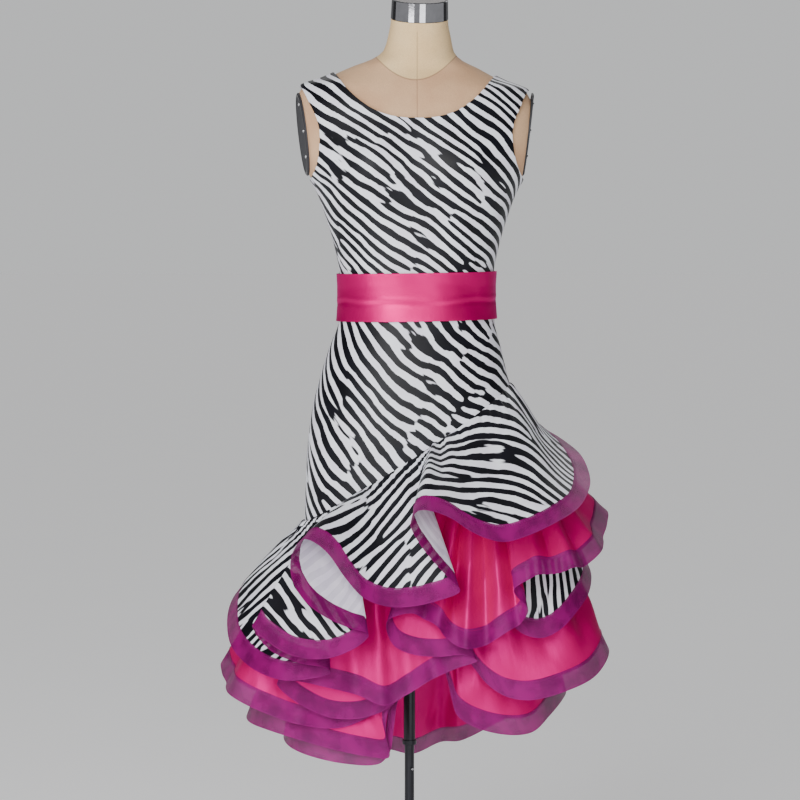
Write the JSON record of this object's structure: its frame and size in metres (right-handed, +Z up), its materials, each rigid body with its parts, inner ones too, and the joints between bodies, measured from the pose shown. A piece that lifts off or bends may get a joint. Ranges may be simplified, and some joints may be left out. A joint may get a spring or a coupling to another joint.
{
  "type": "rumba dance dress on a dress form stand",
  "caption": "Sleeveless rumba dance dress in zebra jersey with a satin sash and slanting braid-edged flounces, worn by a limbless dress form on a height-adjustable pole stand.",
  "frame": {"origin": "on the floor, at the middle of the stand base underside and on the pole axis", "axes": "+Z up along the pole, -Y towards the front of the dress, +X towards the wearer's left side"},
  "size_m": [0.6018, 0.5178, 1.5025],
  "materials": {
    "zebra_jersey": "matte",
    "pink_satin": "satin",
    "crinoline_braid": "satin",
    "form_linen": "matte",
    "chrome": "polished",
    "black_metal": "satin"
  },
  "bodies": {
    "stand": {"stand_base": "black_metal", "pole_lower_rod": "black_metal", "pole_button": "chrome"},
    "figure": {"arm_plate_left": "black_metal", "arm_plate_right": "black_metal", "bodice_back": "zebra_jersey", "bodice_front": "zebra_jersey", "form_flange": "black_metal", "form_torso": "form_linen", "neck_cap": "chrome", "neck_cap_disc": "black_metal", "pole_collar": "black_metal", "pole_upper_tube": "black_metal", "sash": "pink_satin", "satin_flounce_1_back": "pink_satin", "satin_flounce_1_braid_back": "crinoline_braid", "satin_flounce_1_braid_front": "crinoline_braid", "satin_flounce_1_front": "pink_satin", "satin_flounce_2_back": "pink_satin", "satin_flounce_2_braid_back": "crinoline_braid", "satin_flounce_2_braid_front": "crinoline_braid", "satin_flounce_2_front": "pink_satin", "satin_flounce_3_back": "pink_satin", "satin_flounce_3_braid_back": "crinoline_braid", "satin_flounce_3_braid_front": "crinoline_braid", "satin_flounce_3_front": "pink_satin", "skirt_back": "zebra_jersey", "skirt_front": "zebra_jersey", "underskirt_back": "pink_satin", "underskirt_front": "pink_satin", "zebra_flounce_back": "zebra_jersey", "zebra_flounce_braid_back": "crinoline_braid", "zebra_flounce_braid_front": "crinoline_braid", "zebra_flounce_front": "zebra_jersey", "zebra_tail": "zebra_jersey", "zebra_tail_braid": "crinoline_braid"}
  },
  "joints": [
    {"name": "height_slide", "type": "slide", "parent": "stand", "child": "figure", "axis": [0, 0, 1], "range_m": [-0.03, 0.15]}
  ]
}
